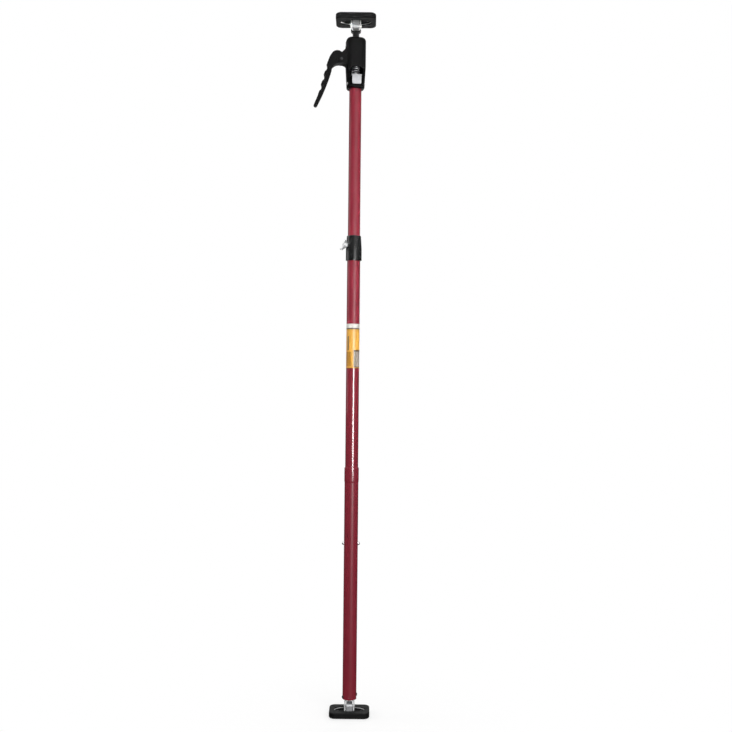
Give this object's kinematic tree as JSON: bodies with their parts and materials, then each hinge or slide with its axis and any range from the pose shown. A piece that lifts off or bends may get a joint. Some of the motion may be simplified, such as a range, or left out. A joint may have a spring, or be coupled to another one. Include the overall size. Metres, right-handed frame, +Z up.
{
  "type": "telescopic prop",
  "caption": "Telescopic support prop: painted steel tubes with clamp collar, pump handle with trigger and release tab, push rod, and swivel pads at floor and ceiling",
  "frame": {"origin": "middle of the floor pad's contact face, with the prop closed and upright", "axes": "+Z up the pole to the ceiling pad, -Y the front where the release tab shows, -X the trigger's side"},
  "size_m": [0.1415, 0.072, 1.6],
  "materials": {
    "tube_paint": "satin powder coat, dark red",
    "handle_plastic": "moulded black, fine grain",
    "pad_plastic": "moulded black",
    "sole_rubber": "black non-slip rubber",
    "zinc_steel": "bright zinc plate",
    "rod_black": "black satin coat",
    "dark_steel": "black oxide",
    "nylon": "dark nylon",
    "spring_steel": "drawn spring wire"
  },
  "bodies": {
    "lower_pole": {"foot_tube": "tube_paint", "middle_tube": "tube_paint", "foot_plug": "nylon", "plug_rivets": "dark_steel", "foot_yoke": "zinc_steel", "foot_yoke_rivet": "zinc_steel", "clamp_collar": "handle_plastic", "collar_nut": "zinc_steel", "snap_clip": "spring_steel"},
    "snap_button_left": {"snap_button_left": "zinc_steel"},
    "snap_button_right": {"snap_button_right": "zinc_steel"},
    "clamp_shoe": {"clamp_shoe": "nylon"},
    "wing_screw": {"wing_screw": "zinc_steel"},
    "upper_pole": {"upper_tube": "tube_paint", "rod_guide": "nylon", "tube_rivets": "zinc_steel", "handle_front": "handle_plastic", "handle_rear": "handle_plastic", "handle_screws": "dark_steel", "trigger_pin": "dark_steel", "drive_spring": "spring_steel", "release_spring": "spring_steel"},
    "trigger": {"trigger": "handle_plastic"},
    "drive_plate": {"drive_plate": "zinc_steel"},
    "release_plate": {"release_plate": "zinc_steel"},
    "push_rod": {"push_rod": "rod_black", "rod_plug": "zinc_steel", "rod_stop_bush": "nylon", "rod_stop_pin": "dark_steel", "head_yoke": "zinc_steel", "head_yoke_rivet": "zinc_steel"},
    "head_pad": {"head_sole": "sole_rubber", "head_tray": "pad_plastic", "head_lug": "zinc_steel", "head_tray_screws": "dark_steel", "head_pivot_pin": "zinc_steel"},
    "foot_pad": {"foot_sole": "sole_rubber", "foot_tray": "pad_plastic", "foot_lug": "zinc_steel", "foot_tray_screws": "dark_steel", "foot_pivot_pin": "zinc_steel"}
  },
  "joints": [
    {"name": "tube_slide", "type": "slide", "parent": "lower_pole", "child": "upper_pole", "axis": [0, 0, 1], "range_m": [0, 0.55]},
    {"name": "shoe_slide", "type": "slide", "parent": "lower_pole", "child": "clamp_shoe", "axis": [-0.8192, -0.5736, 0], "range_m": [0, 0.00187]},
    {"name": "wing_turn", "type": "hinge", "parent": "clamp_shoe", "child": "wing_screw", "pos_m": [-0.02048, -0.01434, 1.075], "axis": [-0.8192, -0.5736, 0], "range_deg": [0, 540]},
    {"name": "left_button", "type": "slide", "parent": "lower_pole", "child": "snap_button_left", "axis": [1, 0, 0], "range_m": [0, 0.0054], "stiffness_N_per_m": 1500, "deforming": ["snap_clip"]},
    {"name": "right_button", "type": "slide", "parent": "lower_pole", "child": "snap_button_right", "axis": [-1, 0, 0], "range_m": [0, 0.0054], "stiffness_N_per_m": 1500, "deforming": ["snap_clip"]},
    {"name": "foot_tilt", "type": "hinge", "parent": "lower_pole", "child": "foot_pad", "pos_m": [0, 0, 0.0206], "axis": [1, 0, 0], "range_deg": [-45, 45]},
    {"name": "trigger_squeeze", "type": "hinge", "parent": "upper_pole", "child": "trigger", "pos_m": [-0.03358, -0.00532, 1.4995], "axis": [0.1564, -0.9877, 0], "range_deg": [0, 25], "stiffness_Nm_per_rad": 2.5, "springref_deg": -11.46},
    {"name": "drive_plate_lift", "type": "slide", "parent": "upper_pole", "child": "drive_plate", "axis": [0, 0, 1], "range_m": [0, 0.0088], "deforming": ["drive_spring"]},
    {"name": "release_lift", "type": "hinge", "parent": "upper_pole", "child": "release_plate", "pos_m": [-0.00223, 0.01409, 1.46516], "axis": [-0.9877, -0.1564, 0], "range_deg": [0, 4], "stiffness_Nm_per_rad": 1, "springref_deg": -5.73, "deforming": ["release_spring"]},
    {"name": "rod_slide", "type": "slide", "parent": "upper_pole", "child": "push_rod", "axis": [0, 0, 1], "range_m": [-0.01, 0.74]},
    {"name": "head_tilt", "type": "hinge", "parent": "push_rod", "child": "head_pad", "pos_m": [0, 0, 1.5794], "axis": [1, 0, 0], "range_deg": [-45, 45]}
  ],
  "couplings": [
    {"joint": "wing_turn", "follows": "shoe_slide", "rad_per_m": 5026},
    {"joint": "drive_plate_lift", "follows": "trigger_squeeze", "m_per_rad": 0.02}
  ]
}
